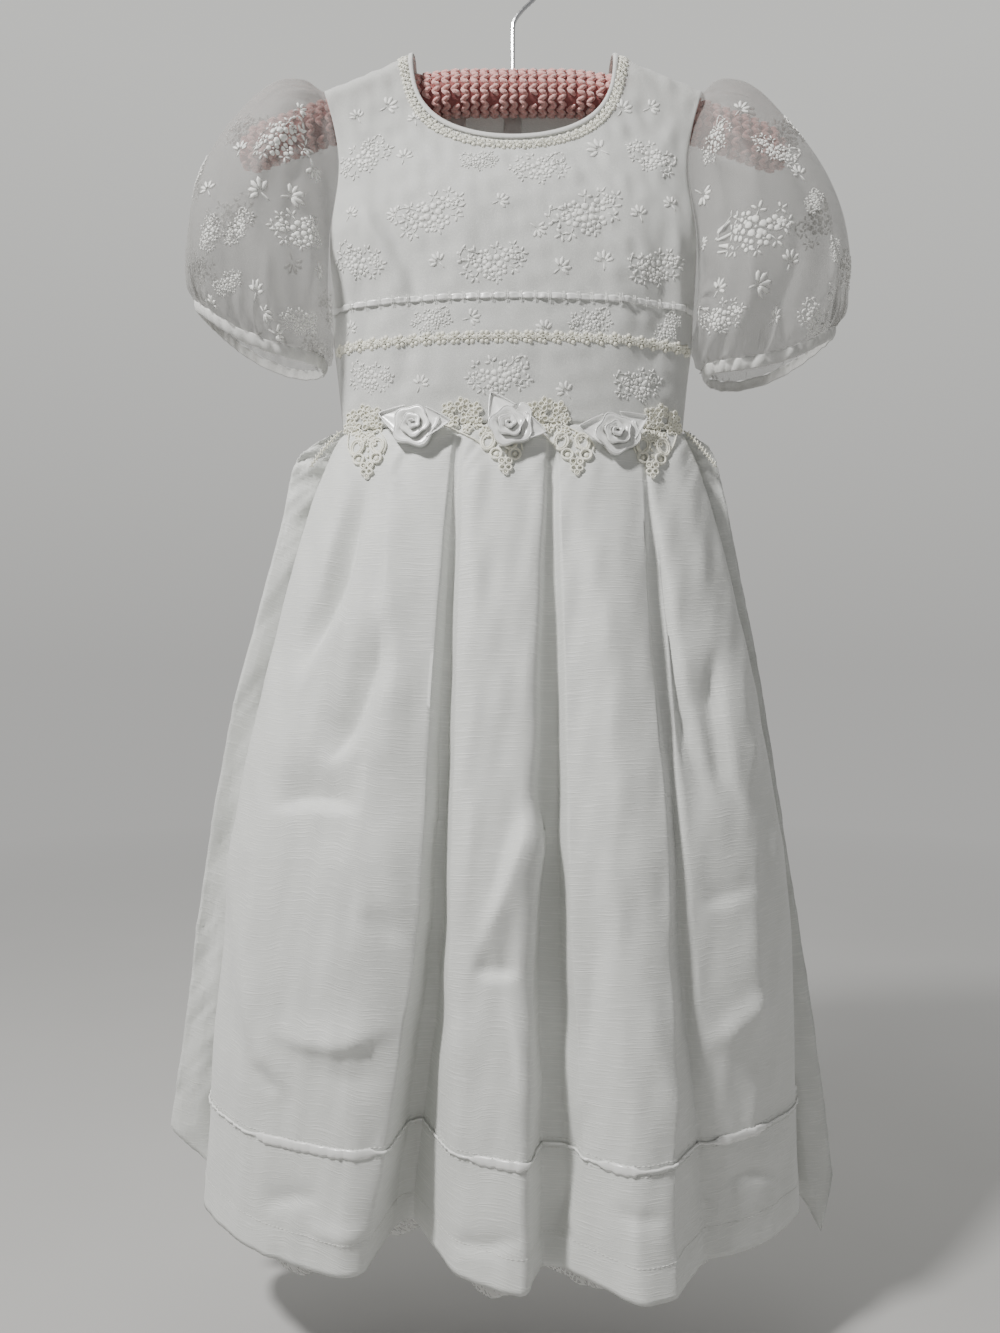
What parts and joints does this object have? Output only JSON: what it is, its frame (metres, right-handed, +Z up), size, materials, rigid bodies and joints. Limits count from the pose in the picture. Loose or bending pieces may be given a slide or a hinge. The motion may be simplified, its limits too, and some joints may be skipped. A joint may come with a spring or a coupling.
{
  "type": "first communion dress on a padded hanger",
  "caption": "Short-sleeved white first communion dress with lace bodice, puffed sleeves, waist roses and a long pleated skirt, hanging on a padded wire-hook hanger.",
  "frame": {"origin": "inside of the bend of the hanger's hook, where a rail carries it", "axes": "+Z up, the front of the dress faces -Y, +X to the right in the front view"},
  "size_m": [0.5235, 0.1946, 0.9983],
  "materials": {
    "lace_cloth": "matt net with raised embroidery",
    "shantung": "crisp cloth with slubs and a low sheen",
    "organza": "sheer",
    "satin": "satin sheen",
    "cream_lace": "matt cream cord with small beads",
    "net": "sheer matt net",
    "wool": "chunky matt crochet",
    "chrome": "polished"
  },
  "bodies": {
    "root": {"bodice_front": "lace_cloth", "bodice_back_left": "lace_cloth", "bodice_back_right": "lace_cloth", "back_placket": "lace_cloth", "neck_label": "lace_cloth", "neck_binding_front": "lace_cloth", "neck_binding_back_left": "lace_cloth", "neck_binding_back_right": "lace_cloth", "neck_braid_front": "cream_lace", "neck_braid_back_left": "cream_lace", "neck_braid_back_right": "cream_lace", "bodice_ribbon": "satin", "daisy_braid": "cream_lace", "sleeve_left": "organza", "sleeve_right": "organza", "sleeve_band_left": "organza", "sleeve_band_right": "organza", "motif_1": "cream_lace", "motif_2": "cream_lace", "motif_3": "cream_lace", "motif_4": "cream_lace", "lace_end_left": "cream_lace", "lace_end_right": "cream_lace", "rose_1": "satin", "rose_2": "satin", "rose_3": "satin", "skirt_front": "shantung", "skirt_back": "shantung", "hem_ribbon_front": "satin", "hem_ribbon_back": "satin", "sash_left": "shantung", "sash_right": "shantung", "petticoat": "net", "petticoat_lace": "net", "hanger_bar": "wool", "hanger_hook": "chrome"}
  },
  "joints": []
}
